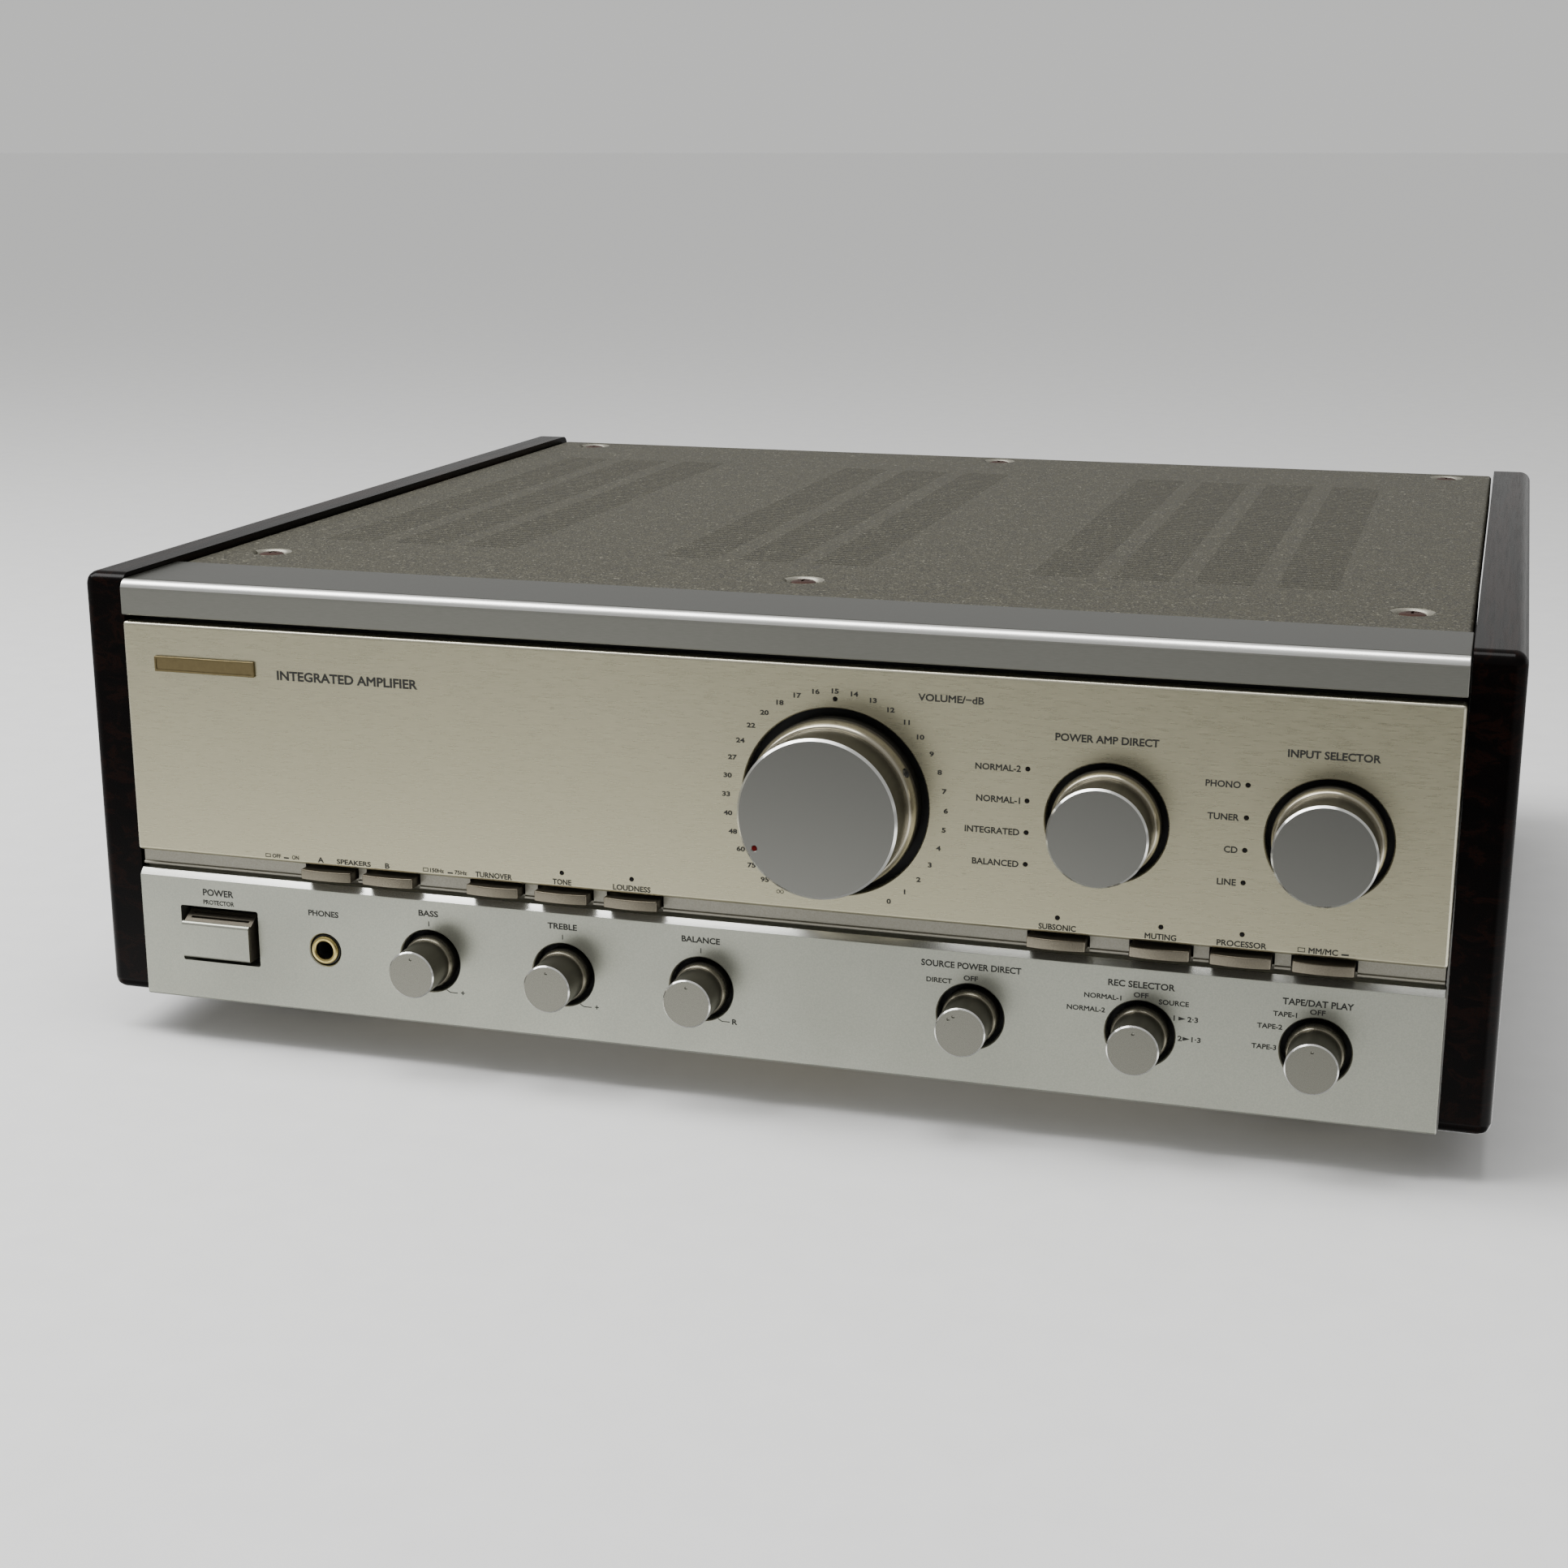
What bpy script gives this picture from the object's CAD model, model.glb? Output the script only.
import math

import bmesh
import bpy
from mathutils import Matrix, Vector


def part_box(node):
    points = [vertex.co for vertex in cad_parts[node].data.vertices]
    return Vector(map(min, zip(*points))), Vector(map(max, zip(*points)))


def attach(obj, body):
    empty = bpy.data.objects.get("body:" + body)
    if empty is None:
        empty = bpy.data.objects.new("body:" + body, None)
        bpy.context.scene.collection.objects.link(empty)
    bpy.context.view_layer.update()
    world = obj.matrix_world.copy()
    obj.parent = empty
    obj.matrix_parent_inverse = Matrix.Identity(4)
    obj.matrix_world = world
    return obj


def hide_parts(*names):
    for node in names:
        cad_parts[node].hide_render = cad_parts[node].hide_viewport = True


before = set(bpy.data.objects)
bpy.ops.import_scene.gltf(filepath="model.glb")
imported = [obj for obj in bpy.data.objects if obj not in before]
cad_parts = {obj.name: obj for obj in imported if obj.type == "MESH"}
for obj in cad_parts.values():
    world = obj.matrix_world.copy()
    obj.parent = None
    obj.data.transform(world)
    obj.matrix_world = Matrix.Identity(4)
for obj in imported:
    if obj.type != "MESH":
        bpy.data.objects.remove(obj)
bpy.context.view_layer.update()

MM = 0.001


# -------- where things are, in millimetres

def span(node):
    """Lowest and highest corner of a CAD node."""
    low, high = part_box(node)
    return Vector(low) / MM, Vector(high) / MM


def centre(node):
    low, high = span(node)
    return (low + high) / 2


def seen(node):
    """Centre of a node as the front shows it: across and up."""
    middle = centre(node)
    return middle.x, middle.z


def named(starts):
    """CAD nodes whose names begin in one of these ways."""
    return [node for node in sorted(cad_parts) if node.startswith(starts)]


def around(middle, half):
    """Both ends of a length centred on a place."""
    return middle - half, middle + half


UPPER_LOW, UPPER_HIGH = span("upper_fascia")
LOWER_LOW, LOWER_HIGH = span("lower_fascia")
FRONT = UPPER_LOW.y
REAR = span("rear_panel")[1].y
PLATE_GAP = 0.3                       # between the rear panel and what is fixed to it
SELECTORS = ("direct_selector", "input_selector")
LARGE_KNOBS = ("volume", *SELECTORS)
SMALL_KNOBS = ("bass", "treble", "balance", "source_direct", "record", "tape")
BUTTONS = (
    "speaker_a", "speaker_b", "turnover", "tone", "loudness",
    "subsonic", "muting", "processor", "cartridge",
)


# -------- mesh tools

def point(pair, along, axis):
    """A point from its two measures across an axis and its place along it."""
    place = list(pair)
    place.insert("XYZ".index(axis), along)
    return place


def box(x, y, z):
    mesh = bmesh.new()
    corner = [mesh.verts.new((px, py, pz)) for px in x for py in y for pz in z]
    for face in ((0, 1, 3, 2), (4, 6, 7, 5), (0, 4, 5, 1), (2, 3, 7, 6), (0, 2, 6, 4), (1, 5, 7, 3)):
        mesh.faces.new([corner[i] for i in face])
    return mesh


def runs_back(middle, line):
    """Picks the edges that run from front to back."""
    return abs(line.y) > 0.9


def round_edges(mesh, radius, segments, wanted=runs_back):
    """Rounds the edges picked by their middle and direction."""
    chosen = []
    for edge in mesh.edges:
        first, second = (vertex.co for vertex in edge.verts)
        if wanted((first + second) / 2, (second - first).normalized()):
            chosen.append(edge)
    bmesh.ops.bevel(
        mesh, geom=chosen, offset=radius, offset_type="OFFSET", segments=segments,
        profile=0.5, affect="EDGES", clamp_overlap=True,
    )
    return mesh


def from_level(level, *steps):
    """Turned profile, as radius and place along the axis, measured from a level."""
    return [(radius, level + along) for radius, along in steps]


def turned(profile, middle, segments, axis="Y", slots=None):
    """Body of revolution; slots gives the material slot of each step along the profile."""
    mesh = bmesh.new()
    rings = []
    for radius, along in profile:
        ring = []
        for step in range(segments if radius else 1):
            angle = 2 * math.pi * (step + 0.5) / segments
            across = (middle[0] + radius * math.sin(angle), middle[1] + radius * math.cos(angle))
            ring.append(mesh.verts.new(point(across, along, axis)))
        rings.append(ring)
    for order, (near, far) in enumerate(zip(rings, rings[1:])):
        faces = []
        if profile[order][1] == profile[order + 1][1] and 1 in (len(near), len(far)):
            flat, pole = (far, near) if len(near) == 1 else (near, far)
            faces.append(mesh.faces.new(flat))
            mesh.verts.remove(pole[0])
        else:
            for step in range(segments):
                after = (step + 1) % segments
                corners = [near[step % len(near)], near[after % len(near)]]
                corners += [far[after % len(far)], far[step % len(far)]]
                faces.append(mesh.faces.new(dict.fromkeys(corners)))
        for face in faces:
            face.material_index = slots[order] if slots else 0
    bmesh.ops.recalc_face_normals(mesh, faces=mesh.faces)
    return mesh


def extruded(outline, ends, axis):
    mesh = bmesh.new()
    start, end = ([mesh.verts.new(point(pair, along, axis)) for pair in outline] for along in ends)
    mesh.faces.new(start)
    mesh.faces.new(reversed(end))
    for i, _ in enumerate(outline):
        j = (i + 1) % len(outline)
        mesh.faces.new((start[i], start[j], end[j], end[i]))
    bmesh.ops.recalc_face_normals(mesh, faces=mesh.faces)
    return mesh


def merged(meshes):
    whole = bmesh.new()
    for mesh in meshes:
        copy = bpy.data.meshes.new("copy")
        mesh.to_mesh(copy)
        mesh.free()
        whole.from_mesh(copy)
        bpy.data.meshes.remove(copy)
    return whole


def arc(middle, radius, start, end, steps):
    """Points on a circle arc, angles in degrees."""
    points = []
    for step in range(steps + 1):
        angle = math.radians(start + (end - start) * step / steps)
        points.append((middle[0] + radius * math.cos(angle), middle[1] + radius * math.sin(angle)))
    return points


def linked(name, data):
    made = bpy.data.objects.new(name, data)
    bpy.context.scene.collection.objects.link(made)
    return made


def as_object(name, mesh):
    data = bpy.data.meshes.new(name)
    mesh.to_mesh(data)
    mesh.free()
    return linked(name, data)


def modified(body, kind, **settings):
    """Applies one modifier for good."""
    modifier = body.modifiers.new(kind.lower(), kind)
    for key, value in settings.items():
        setattr(modifier, key, value)
    graph = bpy.context.evaluated_depsgraph_get()
    result = bpy.data.meshes.new_from_object(body.evaluated_get(graph))
    body.modifiers.clear()
    spent = body.data
    body.data = result
    bpy.data.meshes.remove(spent)
    return body


def cut(body, tool_mesh, operation="DIFFERENCE"):
    """Cuts a mesh out of an object, or joins it on, and uses the mesh up."""
    tool = as_object("tool", tool_mesh)
    spent = tool.data
    modified(body, "BOOLEAN", operation=operation, solver="EXACT", object=tool)
    bpy.data.objects.remove(tool, do_unlink=True)
    bpy.data.meshes.remove(spent)
    return body


def joined(body, tool_mesh):
    return cut(body, tool_mesh, "UNION")


def sort_faces(body, rule):
    """Gives each face the material slot that a rule finds from its middle and normal."""
    for face in body.data.polygons:
        face.material_index = int(rule(face.center, face.normal))


def piece(name, shape, materials, body="chassis", nodes=(), angle=35):
    """Finishes a piece: metres, materials, shading, the body it rides on and the nodes it stands for."""
    made = shape if isinstance(shape, bpy.types.Object) else as_object(name, shape)
    made.data.transform(Matrix.Scale(MM, 4))
    slots = [polygon.material_index for polygon in made.data.polygons]
    made.data.materials.clear()
    for surface in materials:
        made.data.materials.append(surface)
    made.data.polygons.foreach_set("material_index", slots)
    made.data.shade_smooth()
    made.data.set_sharp_from_angle(angle=math.radians(angle))
    modified(made, "WEIGHTED_NORMAL", mode="FACE_AREA", weight=100, keep_sharp=True)
    made.name = name
    made.data.name = name
    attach(made, body)
    if nodes:
        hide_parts(*nodes)
    return made


# -------- material tools

class Tree:
    """A node tree with short ways to add to it."""

    def __init__(self, tree):
        self.tree = tree

    def node(self, kind, **settings):
        made = self.tree.nodes.new(kind)
        for key, value in settings.items():
            setattr(made, key, value)
        return made

    def link(self, source, target):
        self.tree.links.new(source, target)

    def apart(self, vector):
        """The X, Y and Z outputs of a vector."""
        made = self.node("ShaderNodeSeparateXYZ")
        self.link(vector, made.inputs["Vector"])
        return made.outputs

    def spread(self, value, low, high, to_low=0.0, to_high=1.0, **settings):
        made = self.node("ShaderNodeMapRange", clamp=True, **settings)
        for key, number in (("From Min", low), ("From Max", high), ("To Min", to_low), ("To Max", to_high)):
            made.inputs[key].default_value = number
        self.link(value, made.inputs["Value"])
        return made.outputs["Result"]

    def ramp(self, value, stops, interpolation="LINEAR"):
        made = self.node("ShaderNodeValToRGB")
        made.color_ramp.interpolation = interpolation
        while len(made.color_ramp.elements) < len(stops):
            made.color_ramp.elements.new(0.5)
        for element, (position, colour) in zip(made.color_ramp.elements, stops):
            element.position = position
            element.color = (*colour, 1.0)
        self.link(value, made.inputs["Fac"])
        return made.outputs["Color"]


class Surface(Tree):
    """A Principled material built from object-space procedural patterns."""

    def __init__(self, name, colour, metallic, roughness, **sockets):
        self.made = bpy.data.materials.new(name)
        self.made.use_nodes = True
        super().__init__(self.made.node_tree)
        self.shader = self.tree.nodes["Principled BSDF"]
        self.shader.inputs["Base Color"].default_value = (*colour, 1.0)
        self.shader.inputs["Metallic"].default_value = metallic
        self.shader.inputs["Roughness"].default_value = roughness
        for socket, value in sockets.items():
            self.shader.inputs[socket.replace("_", " ")].default_value = value
        self.place = self.node("ShaderNodeTexCoord").outputs["Object"]
        self.tone = colour
        self.normal = None

    def stretched(self, scale, shift=(0, 0, 0)):
        mapping = self.node("ShaderNodeMapping")
        mapping.inputs["Scale"].default_value = scale
        mapping.inputs["Location"].default_value = shift
        self.link(self.place, mapping.inputs["Vector"])
        return mapping.outputs["Vector"]

    def noise(self, size, detail, rough, stretch=(1, 1, 1), distortion=0.0):
        made = self.node("ShaderNodeTexNoise")
        values = {"Scale": size, "Detail": detail, "Roughness": rough, "Distortion": distortion}
        for key, value in values.items():
            made.inputs[key].default_value = value
        self.link(self.stretched(stretch), made.inputs["Vector"])
        return made.outputs["Fac"]

    def cells(self, size):
        made = self.node("ShaderNodeTexVoronoi")
        made.inputs["Scale"].default_value = size
        self.link(self.stretched((1, 1, 1)), made.inputs["Vector"])
        return made.outputs["Distance"]

    def blend(self, share, first, second):
        made = self.node("ShaderNodeMix", data_type="RGBA")
        for key, value in ((0, share), (6, first), (7, second)):
            if isinstance(value, bpy.types.NodeSocket):
                self.link(value, made.inputs[key])
            else:
                made.inputs[key].default_value = (*value, 1.0)
        return made.outputs[2]

    def tint(self, pattern, other, *window):
        """Mixes another colour in where a pattern is high."""
        self.tone = self.blend(self.spread(pattern, *window), self.tone, other)
        self.link(self.tone, self.shader.inputs["Base Color"])

    def gloss(self, pattern, low, high, start=0.3):
        """Lets a pattern vary the roughness."""
        self.link(self.spread(pattern, start, 0.7, low, high), self.shader.inputs["Roughness"])

    def bump(self, height, depth, strength):
        made = self.node("ShaderNodeBump")
        made.inputs["Strength"].default_value = strength
        made.inputs["Distance"].default_value = depth
        self.link(height, made.inputs["Height"])
        if self.normal:
            self.link(self.normal, made.inputs["Normal"])
        self.normal = made.outputs["Normal"]
        self.link(self.normal, self.shader.inputs["Normal"])


def times(colour, factor):
    return tuple(channel * factor for channel in colour)


def grained(name, base, other, metallic, roughness, size, detail, share, gloss, depth, strength):
    """One even grain that tints a surface towards another colour, varies its gloss and raises it."""
    made = Surface(name, base, metallic, roughness)
    grain = made.noise(size, detail, 0.6)
    made.tint(grain, other, *share)
    made.gloss(grain, roughness + gloss[0], roughness + gloss[1])
    made.bump(grain, depth, strength)
    return made.made


def moulded(name, base, roughness, size=1800.0):
    """Moulded plastic or rubber with a fine spark-eroded grain."""
    pale = tuple(channel * 1.5 + 0.004 for channel in base)
    return grained(name, base, pale, 0.0, roughness, size, 3.0, (0.3, 0.75), (-0.07, 0.08), 0.00003, 0.5)


def plated(name, base, roughness):
    """Plated metal under a thin haze."""
    share = (0.35, 0.75, 0.0, 0.4)
    return grained(
        name, base, times(base, 0.7), 1.0, roughness, 500.0, 4.0, share, (-0.06, 0.12), 0.00001, 0.3
    )


def black_steel():
    """Powder-coated black steel."""
    base = (0.012, 0.012, 0.012)
    return grained(
        "black_steel", base, times(base, 1.8), 0.0, 0.55, 1500.0, 3.0, (0.3, 0.7), (-0.1, 0.1), 0.00004, 0.5
    )


def brushed(name, base, light, roughness, depth=0.00005, metallic=0.9, nicks=0.3, bands=1.0):
    """Sheet metal brushed along X: fine streaks in colour, gloss and height, a few nicks, faint clouding."""
    made = Surface(name, base, metallic, roughness)
    fine = made.noise(1.0, 3.0, 0.65, (330, 4200, 4200))
    broad = made.noise(1.0, 2.0, 0.5, (150, 2000, 2000))
    dark = times(base, 0.85)
    made.tint(fine, light, 0.3, 0.7)
    made.tone = made.blend(made.spread(broad, 0.34, 0.66, 1.0 - 0.2 * bands, 1.0), dark, made.tone)
    made.tint(made.noise(9.0, 4.0, 0.55), dark, 0.4, 0.75, 0.0, 0.12)
    made.tint(made.noise(1.0, 1.0, 0.5, (230, 900, 900)), times(base, 0.35), 0.79, 0.81, 0.0, nicks)
    made.gloss(broad, roughness - 0.02 * bands, roughness + 0.04 * bands)
    made.bump(fine, depth, 0.5)
    return made.made


def satin(name, base, light, roughness, metallic=0.9, depth=0.00002):
    """Bead-blasted anodised metal: fine even grain with slight clouding."""
    made = Surface(name, base, metallic, roughness)
    grit = made.noise(2400.0, 2.0, 0.6)
    cloud = made.noise(14.0, 4.0, 0.55)
    made.tint(grit, light, 0.3, 0.7)
    made.tint(cloud, times(base, 0.8), 0.35, 0.8, 0.0, 0.22)
    made.gloss(cloud, roughness - 0.04, roughness + 0.06)
    made.bump(grit, depth, 0.45)
    return made.made


def bevel_metal():
    """Polished bevel of the lower plate, brighter in its left half than at its ends."""
    bright, dim = (0.68, 0.69, 0.64), (0.34, 0.345, 0.315)
    made = Surface("silver_bevel", bright, 0.9, 0.22)
    across = made.spread(made.apart(made.place)["X"], -0.22, 0.22)
    made.tone = made.ramp(across, [(0.0, dim), (0.17, bright), (0.5, bright), (0.68, dim), (1.0, dim)])
    grit = made.noise(2400.0, 2.0, 0.6)
    made.tint(grit, dim, 0.3, 0.7, 0.0, 0.12)
    made.gloss(grit, 0.2, 0.25)
    made.bump(grit, 0.00001, 0.45)
    return made.made


def flecked_paint():
    """Taupe metallic structured paint: leathery lumps, dark mottling and short pale flecks."""
    base, dark, pale = (0.075, 0.07, 0.049), (0.028, 0.025, 0.017), (0.34, 0.325, 0.25)
    made = Surface("flecked_paint", base, 0.5, 0.45, Specular_IOR_Level=0.25)
    lumps = made.noise(600.0, 3.0, 0.6)
    grain = made.noise(1300.0, 3.0, 0.65)
    made.tone = dark
    made.tint(lumps, base, 0.38, 0.6)
    made.tint(grain, pale, 0.5, 0.72, 0.0, 0.5)
    made.tint(made.noise(45.0, 4.0, 0.6), base, 0.35, 0.7, 0.0, 0.4)
    made.tint(made.noise(560.0, 3.0, 0.6, distortion=2.0), pale, 0.61, 0.68, 0.0, 0.9)
    made.gloss(lumps, 0.38, 0.55)
    made.bump(lumps, 0.00016, 0.7)
    made.bump(grain, 0.00005, 0.5)
    return made.made


def rosewood():
    """Near-black rosewood with red-brown figure running front to back, under gloss lacquer."""
    black, brown, red = (0.0012, 0.0008, 0.0008), (0.0022, 0.0011, 0.0009), (0.0075, 0.0024, 0.0014)
    lacquer = {"Coat_Weight": 0.2, "Coat_Roughness": 0.06, "Coat_IOR": 1.3}
    made = Surface("rosewood", black, 0.0, 0.25, Specular_IOR_Level=0.04, **lacquer)
    grain = made.noise(1.0, 6.0, 0.62, (90, 5, 160), 0.7)
    pores = made.noise(1.0, 3.0, 0.6, (1500, 40, 1500))
    figure = [(0.35, black), (0.5, brown), (0.58, red), (0.66, brown), (0.8, black)]
    made.tone = made.ramp(grain, figure)
    made.tint(pores, black, 0.55, 0.7, 0.0, 0.8)
    made.gloss(pores, 0.24, 0.3, 0.4)
    made.bump(grain, 0.00001, 0.1)
    return made.made


def turned_metal(name, base, light, roughness, middle):
    """Lathe-turned metal: very fine rings about the knob's own axis."""
    made = Surface(name, base, 0.92, roughness)
    split = made.apart(made.stretched((1, 1, 1), (-middle[0] * MM, 0, -middle[1] * MM)))
    flat = made.node("ShaderNodeCombineXYZ")
    made.link(split["X"], flat.inputs["X"])
    made.link(split["Z"], flat.inputs["Y"])
    length = made.node("ShaderNodeVectorMath", operation="LENGTH")
    made.link(flat.outputs["Vector"], length.inputs[0])
    rings = made.node("ShaderNodeTexNoise", noise_dimensions="1D")
    rings.inputs["Scale"].default_value = 2400.0
    rings.inputs["Detail"].default_value = 2.0
    made.link(length.outputs["Value"], rings.inputs["W"])
    grit = made.noise(1250.0, 4.0, 0.7)
    made.tint(rings.outputs["Fac"], light, 0.3, 0.7)
    made.tint(grit, times(base, 0.8), 0.4, 0.8, 0.0, 0.08)
    made.gloss(grit, roughness - 0.015, roughness + 0.02)
    made.bump(rings.outputs["Fac"], 0.0000006, 0.3)
    made.bump(grit, 0.0000004, 0.2)
    return made.made


def ink(name, base):
    """Screen-printed lettering, slightly worn."""
    made = Surface(name, base, 0.0, 0.55)
    worn = tuple(channel + 0.08 for channel in base)
    made.tint(made.noise(1500.0, 3.0, 0.6), worn, 0.5, 0.8, 0.0, 0.35)
    return made.made


def zinc_steel():
    """Passivated sheet steel: soft rolled streaks and faint yellow bloom."""
    made = Surface("zinc_steel", (0.4, 0.39, 0.35), 0.85, 0.42)
    rolled = made.noise(1.0, 3.0, 0.55, (30, 500, 500))
    bloom = made.noise(22.0, 4.0, 0.6)
    made.tone = (0.33, 0.32, 0.29)
    made.tint(rolled, (0.47, 0.46, 0.42), 0.35, 0.65)
    made.tint(bloom, (0.42, 0.36, 0.22), 0.4, 0.75, 0.0, 0.5)
    made.gloss(bloom, 0.36, 0.5)
    made.bump(rolled, 0.00002, 0.4)
    return made.made


def circuit_board():
    """Green board: glass weave under the lacquer, and raised tracks."""
    made = Surface("circuit_board", (0.03, 0.08, 0.035), 0.0, 0.4)
    tracks = made.noise(1.0, 1.0, 0.4, (60, 700, 700))
    made.tone = (0.02, 0.06, 0.025)
    made.tint(made.cells(900.0), (0.05, 0.11, 0.05), 0.1, 0.5)
    made.tint(tracks, (0.09, 0.17, 0.07), 0.55, 0.6, 0.0, 0.6)
    made.bump(tracks, 0.00003, 0.5)
    return made.made


def lamp_lens():
    """Dark lens of an unlit lamp."""
    made = Surface("lamp_lens", (0.004, 0.003, 0.003), 0.0, 0.45, Specular_IOR_Level=0.2)
    made.bump(made.noise(2500.0, 2.0, 0.55), 0.00001, 0.3)
    return made.made


SMOOTH = {"depth": 0.000006, "nicks": 0.0, "bands": 0.25}
GOLD = brushed("champagne_gold", (0.5, 0.47, 0.33), (0.56, 0.53, 0.378), 0.28, 0.00002)
TRIM = brushed("brushed_trim", (0.215, 0.215, 0.19), (0.24, 0.24, 0.214), 0.28, metallic=0.6, **SMOOTH)
TRIM_TOP = brushed("brushed_trim_top", (0.112, 0.112, 0.094), (0.128, 0.128, 0.108), 0.24, **SMOOTH)
TRIM_EDGE = brushed(
    "rolled_trim_edge", (0.72, 0.72, 0.69), (0.84, 0.84, 0.81), 0.28, metallic=0.95, **SMOOTH
)
ALUMINIUM = brushed("plain_aluminium", (0.42, 0.42, 0.42), (0.55, 0.55, 0.55), 0.4)

SILVER = satin("satin_silver", (0.4, 0.41, 0.35), (0.48, 0.49, 0.42), 0.34)
SILVER_BEVEL = bevel_metal()
GOLD_EDGE = satin("gold_edge", (0.6, 0.572, 0.44), (0.7, 0.672, 0.53), 0.27, depth=0.000005)
BRIGHT = satin("polished_edge", (0.66, 0.66, 0.63), (0.72, 0.72, 0.69), 0.15, depth=0.000005)
STRIP = satin("grey_strip", (0.28, 0.268, 0.222), (0.36, 0.345, 0.29), 0.4, 0.8)
PRESSED_PAINT = satin("pressed_paint", (0.24, 0.23, 0.185), (0.36, 0.348, 0.29), 0.4, 0.6)
COPPER = satin("copper_plate", (0.06, 0.026, 0.018), (0.085, 0.038, 0.026), 0.42, 0.7)
CAP = satin("button_metal", (0.11, 0.095, 0.07), (0.15, 0.132, 0.1), 0.33)
CAP_FACE = satin("button_face", (0.2, 0.178, 0.135), (0.26, 0.235, 0.18), 0.28)
GROOVED = satin("grooved_slope", (0.11, 0.098, 0.076), (0.14, 0.126, 0.1), 0.45)

BRASS = plated("gold_plate", (0.62, 0.5, 0.2), 0.22)
BADGE = plated("badge_gold", (0.2, 0.16, 0.08), 0.36)
NICKEL = plated("nickel_plate", (0.6, 0.58, 0.54), 0.25)
DARK_SCREW = plated("blackened_steel", (0.09, 0.088, 0.085), 0.34)
MARK = plated("red_mark", (0.12, 0.01, 0.01), 0.35)

BLACK = moulded("black_plastic", (0.015, 0.015, 0.015), 0.42)
RUBBER = moulded("foot_rubber", (0.02, 0.02, 0.02), 0.7, 1200.0)
RED = moulded("red_plastic", (0.35, 0.012, 0.01), 0.38)
WHITE = moulded("white_plastic", (0.6, 0.58, 0.52), 0.4)
SLEEVE = moulded("capacitor_sleeve", (0.02, 0.02, 0.035), 0.3)

PAINT = flecked_paint()
WOOD = rosewood()
STEEL = zinc_steel()
BLACK_STEEL = black_steel()
GREEN_BOARD = circuit_board()
INK = ink("label_ink", (0.016, 0.016, 0.014))
PALE_INK = ink("pale_ink", (0.7, 0.7, 0.68))
LENS = lamp_lens()


# -------- case

def wood_panels():
    for side in ("left", "right"):
        node = f"wood_panel_{side}"
        low, high = span(node)
        inner = low.x if side == "right" else high.x
        mesh = box(*zip(low, high))
        round_edges(mesh, 4.2, 8, lambda middle, line: abs(middle.x - inner) > 1)
        piece(f"rosewood_side_{side}", mesh, [WOOD], nodes=[node])


WELL_RADIUS = {"volume": 30.0, "direct_selector": 18.7, "input_selector": 18.7}
SMALL_WELL_RADIUS = 10.7
SOCKET_WELL_RADIUS = 5.7
WELL_CHAMFER = 0.35
CUT_DEPTH = 8                         # deeper than any front plate
LAMP_RADIUS = 0.8
LAMP_ASIDE = 24.3                     # from a selector's axis to its column of lamps
POSITIONS_UP = (15.2, 5.2, -4.8, -14.9)


def well(radius, middle, segments):
    """Round hole with a small chamfer, to cut into a front plate."""
    mouth = ((0, -1), (radius + WELL_CHAMFER + 1, -1), (radius, WELL_CHAMFER))
    return turned(from_level(FRONT, *mouth, (radius, CUT_DEPTH), (0, CUT_DEPTH)), middle, segments)


def lamp_places():
    volume = centre("volume_knob")
    places = [(volume.x, volume.z + 32.9)]
    for name in SELECTORS:
        middle = centre(f"{name}_knob")
        places += [(middle.x - LAMP_ASIDE, middle.z + up) for up in POSITIONS_UP]
    for name in ("tone", "loudness", "subsonic", "muting", "processor"):
        places.append((centre(f"{name}_button").x, UPPER_LOW.z + 5.2))
    return places


def upper_plate():
    mesh = box(*zip(UPPER_LOW, UPPER_HIGH))
    round_edges(mesh, 1.1, 2)
    round_edges(mesh, 1.2, 6, lambda middle, line: middle.y < FRONT + 0.1)
    body = as_object("plate", mesh)
    hole = from_level(FRONT, (0, -1), (LAMP_RADIUS, -1), (LAMP_RADIUS, CUT_DEPTH), (0, CUT_DEPTH))
    tools = [well(WELL_RADIUS[name], seen(f"{name}_knob"), 160) for name in LARGE_KNOBS]
    tools += [turned(hole, place, 24) for place in lamp_places()]
    cut(body, merged(tools))
    top, side = UPPER_HIGH.z - 1.25, UPPER_HIGH.x - 1.25
    sort_faces(body, lambda at, normal: (at.z > top or abs(at.x) > side) and 0.2 < -normal.y < 0.97)
    piece("upper_front_plate", body, [GOLD, GOLD_EDGE], nodes=["upper_fascia"])


def lamp_lenses():
    dome = from_level(FRONT, (0, 0.06), (0.4, 0.08), (0.66, 0.16), (0.76, 0.3), (0.76, 4), (0, 4))
    piece("lamp_lenses", merged([turned(dome, place, 20) for place in lamp_places()]), [LENS])


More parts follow.
